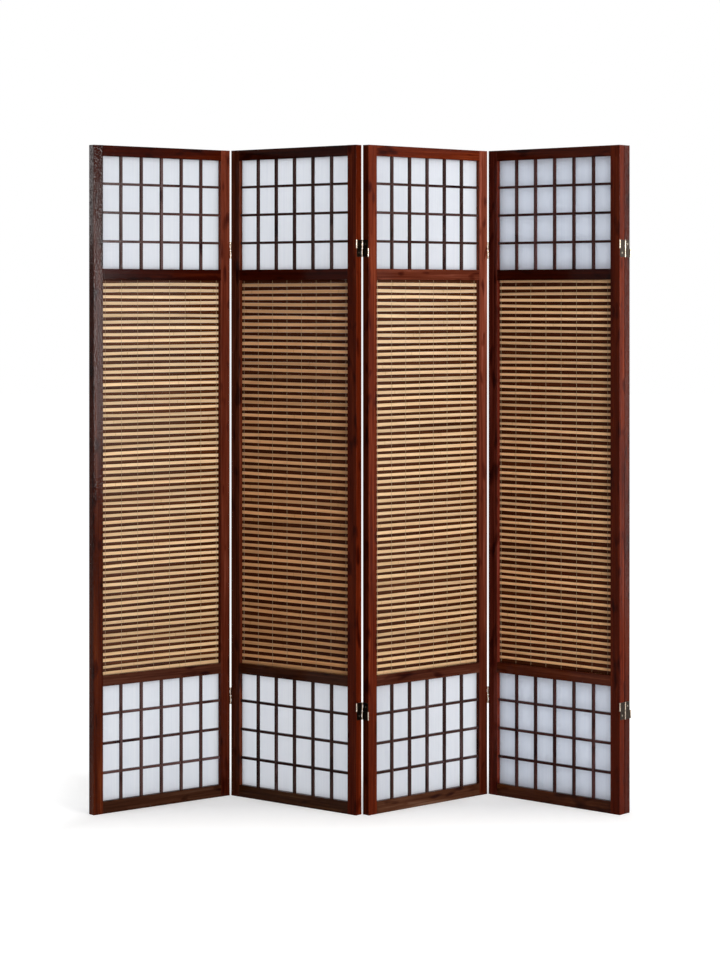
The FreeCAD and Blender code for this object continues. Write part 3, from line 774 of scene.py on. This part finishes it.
# The threads: how far each panel's are moved along the mat, their section, how deep they dip between slats
# and how far they wander. Of its last wander each point keeps a share, and a chance share is added.
THREAD_SEED = 900
THREAD_SHIFTS = {1: 3.5 * MM, 2: -4.0 * MM, 3: 1.5 * MM, 4: -6.5 * MM, 5: 0.0}
THREAD_RADIUS = 0.40 * MM
THREAD_SIDES = 6
THREAD_DIP = 0.35 * MM
THREAD_WANDER = 0.35 * MM
THREAD_KEPT_SHARE = 0.8
THREAD_CHANCE_SHARE = 0.5
THREAD_END = 1.0 * MM


def threads(panel, mat):
    """Strands before and behind the mat that dip a little between the slats."""
    shape = bmesh.new()
    shape.from_mesh(panel.node("threads").data)
    bmesh.ops.remove_doubles(shape, verts=shape.verts, dist=WELD_DISTANCE)
    strands = [extent([panel.local(vertex.co) for vertex in solid]) for solid in solids(shape)]
    shape.free()
    shape = bmesh.new()
    grain = shape.verts.layers.float_vector.new("grain")
    chance = random.Random(THREAD_SEED + panel.number)
    slat_low, slat_high = mat.slats[0][:2]
    for low, high in strands:
        u = (low.x + high.x) / 2 + THREAD_SHIFTS[panel.number]
        share = (u - slat_low.x) / (slat_high.x - slat_low.x)
        outward = -1 if low.y < slat_low.y else 1
        flat = slat_low.y - THREAD_RADIUS if outward < 0 else slat_high.y + THREAD_RADIUS
        offset = Vector(chance.uniform(0, FAR) for axis in range(3))
        # Each point of the strand's line: its height, and whether it dips there.
        line = [(low.z, 0.0)]
        for index in range(len(mat.slats)):
            bottom = mat.edge(index, 0, share)
            top = mat.edge(index, 1, share)
            if low.z + THREAD_END < bottom < high.z - THREAD_END:
                line.append((bottom - SLAT_GAP, 1.0))
            if low.z + THREAD_END < (bottom + top) / 2 < high.z - THREAD_END:
                line.append(((bottom + top) / 2, 0.0))
        line.append((high.z, 0.0))
        rings = []
        wander = chance.uniform(-1, 1)
        for z, between in line:
            wander = THREAD_KEPT_SHARE * wander + THREAD_CHANCE_SHARE * chance.uniform(-1, 1)
            centre_u = u + wander * THREAD_WANDER
            centre_v = flat - outward * between * THREAD_DIP
            ring = []
            for corner in range(THREAD_SIDES):
                angle = -math.tau * corner / THREAD_SIDES
                across = centre_u + THREAD_RADIUS * math.cos(angle)
                depth = centre_v + THREAD_RADIUS * math.sin(angle)
                ring.append(shape.verts.new(panel.world(across, depth, z)))
                ring[-1][grain] = Vector((z, across, depth)) + offset
            rings.append(ring)
        close_tube(shape, rings)
    finish_piece(shape, f"{panel.body}_threads_tied", panel, "threads", "cotton_thread")


# Each kind of CAD node that keeps its form: its material slot, how far its edges are eased, and a seed.
EASED_KINDS = (
    ("stiles", "lacquered_wood", 0.3 * MM, 100),
    ("rails", "lacquered_wood", 0.3 * MM, 200),
    ("lattice_bars", "lacquered_wood", 0.3 * MM, 300),
    ("battens", "lacquered_wood", 0.4 * MM, 400),
    ("hinge_leaves", "bronzed_steel", 0.25 * MM, 500),
    ("hinge_links", "bronzed_steel", 0.25 * MM, 550),
    ("hinge_pins", "bright_steel", 0.3 * MM, 600),
    ("hinge_screws", "bright_steel", 0.15 * MM, 650),
)


def dress(panel):
    """Gives every node of a panel its finished pieces or material."""
    for kind, slot, edge, seed in EASED_KINDS:
        eased(panel, kind, slot, edge, seed)
    mat = Mat(panel)
    mat.slats_of("natural_slats", "natural_bamboo")
    mat.slats_of("dark_slats", "dark_bamboo")
    threads(panel, mat)
    paper = panel.node("paper").data
    paper.materials.clear()
    paper.materials.append(shoji_paper(panel.number))


# The setting

WHITE = (1, 1, 1, 1)
AMBIENT = 0.42
FLOOR_SIZE = 30
FLOOR_COLOUR = (0.75, 0.75, 0.75, 1)
FLOOR_ROUGHNESS = 0.9
FLOOR_GLOW = 0.72
# The floor glows less at the screen's foot, as a painted soft shadow there,
# and more from one distance to another along X and along Y.
PAINTED_SHADOW_GLOW = 0.30
PAINTED_SHADOW_REACH_X = (0.58, 0.88)
PAINTED_SHADOW_REACH_Y = (0.02, 0.50)


def seen(tree):
    """One where the camera sees the surface, straight, mirrored or through glass."""
    light_path = add(tree, "ShaderNodeLightPath").outputs
    found = maths(tree, "MAXIMUM", light_path["Is Camera Ray"], light_path["Is Glossy Ray"])
    return maths(tree, "MAXIMUM", found, light_path["Is Transmission Ray"])


def floor():
    """A plain pale floor that reads as white and still takes the screen's shadow, with a painted soft
    shadow added at its foot.
    """
    shape = bmesh.new()
    bmesh.ops.create_grid(shape, x_segments=1, y_segments=1, size=FLOOR_SIZE)
    mesh = bpy.data.meshes.new("floor")
    shape.to_mesh(mesh)
    shape.free()
    made = new_material("floor")
    tree = made.node_tree
    place = add(tree, "ShaderNodeTexCoord").outputs["Object"]
    sides = add(tree, "ShaderNodeSeparateXYZ", {0: place}).outputs
    # A painted shadow: the floor's emission dips near the screen's foot.
    shadow_fade_x = ranged(tree, maths(tree, "ABSOLUTE", sides["X"], 0.0), *PAINTED_SHADOW_REACH_X, 0.0, 1.0)
    shadow_fade_y = ranged(tree, maths(tree, "ABSOLUTE", sides["Y"], 0.0), *PAINTED_SHADOW_REACH_Y, 0.0, 1.0)
    shadow_fade = maths(tree, "MAXIMUM", shadow_fade_x, shadow_fade_y)
    glow_with_painted_shadow = ranged(tree, shadow_fade, 0.0, 1.0, PAINTED_SHADOW_GLOW, FLOOR_GLOW)
    inputs = {
        "Base Color": FLOOR_COLOUR,
        "Roughness": FLOOR_ROUGHNESS,
        "Specular IOR Level": 0.0,
        "Emission Color": WHITE,
        "Emission Strength": maths(tree, "MULTIPLY", seen(tree), glow_with_painted_shadow),
    }
    surface(tree, add(tree, "ShaderNodeBsdfPrincipled", inputs).outputs[0])
    mesh.materials.append(made)
    plane = bpy.data.objects.new("floor", mesh)
    bpy.context.scene.collection.objects.link(plane)


def world():
    """White to the camera and in reflections, and a softer even light on everything."""
    made = bpy.data.worlds.new("studio")
    made.use_nodes = True
    tree = made.node_tree
    tree.nodes.clear()
    even = add(tree, "ShaderNodeBackground", {"Color": WHITE, "Strength": AMBIENT}).outputs[0]
    white = add(tree, "ShaderNodeBackground", {"Color": WHITE, "Strength": 1.0}).outputs[0]
    shader = add(tree, "ShaderNodeMixShader", {0: seen(tree), 1: even, 2: white}).outputs[0]
    add(tree, "ShaderNodeOutputWorld", {"Surface": shader})
    bpy.context.scene.world = made


# The soft boxes: place, point they face, width, height, and the light they give there as a share of white.
SOFT_BOXES = {
    "key": ((2.75, -3.65, 1.9), (0, 0, 1.0), 2.0, 2.4, 0.70),
    "back": ((1.6, 3.4, 2.2), (0, 0, 0.9), 3.0, 2.0, 0.10),
}
# Panels of light that show only as highlights on lacquer and metal.
HIGHLIGHTS = {
    "right_wall": ((5.0, 0.2, 1.2), (0, 0.2, 1.2), 4.5, 3.0, 0.34),
    "right_strip": ((3.96, -1.954, 1.32), (-0.7, -0.1, 1.2), 0.45, 1.30, 0.40),
    "left_strip": ((-3.60, 0.74, 2.10), (-0.7, -0.1, 1.5), 0.50, 1.00, 0.16),
    "edge_light": ((-0.6, -8.4, 1.3), (-0.2, 0.0, 1.2), 0.8, 2.4, 0.50),
}


def soft_box(name, place, target, width, height, level, lights=True):
    """A rectangle of light. One that doesn't light the scene shows only as a highlight."""
    lamp = bpy.data.lights.new(name, "AREA")
    lamp.shape = "RECTANGLE"
    lamp.size = width
    lamp.size_y = height
    gap = Vector(target) - Vector(place)
    lamp.energy = level * math.pi ** 2 * gap.length_squared
    made = bpy.data.objects.new(name, lamp)
    made.location = place
    made.rotation_euler = gap.to_track_quat("-Z", "Y").to_euler()
    made.visible_camera = False
    made.visible_diffuse = lights
    bpy.context.scene.collection.objects.link(made)


def camera():
    lens = bpy.data.cameras.new("camera")
    lens.sensor_width = CAMERA_SENSOR
    lens.lens = CAMERA_LENS
    lens.shift_y = CAMERA_SHIFT
    made = bpy.data.objects.new("camera", lens)
    made.location = CAMERA_PLACE
    made.rotation_euler = (math.radians(90), 0, 0)
    bpy.context.scene.collection.objects.link(made)
    bpy.context.scene.camera = made


for number in PANELS:
    dress(Panel(number))
floor()
world()
for name, settings in SOFT_BOXES.items():
    soft_box(name, *settings)
for name, settings in HIGHLIGHTS.items():
    soft_box(name, *settings, lights=False)
camera()
bpy.context.scene.view_settings.view_transform = "Standard"
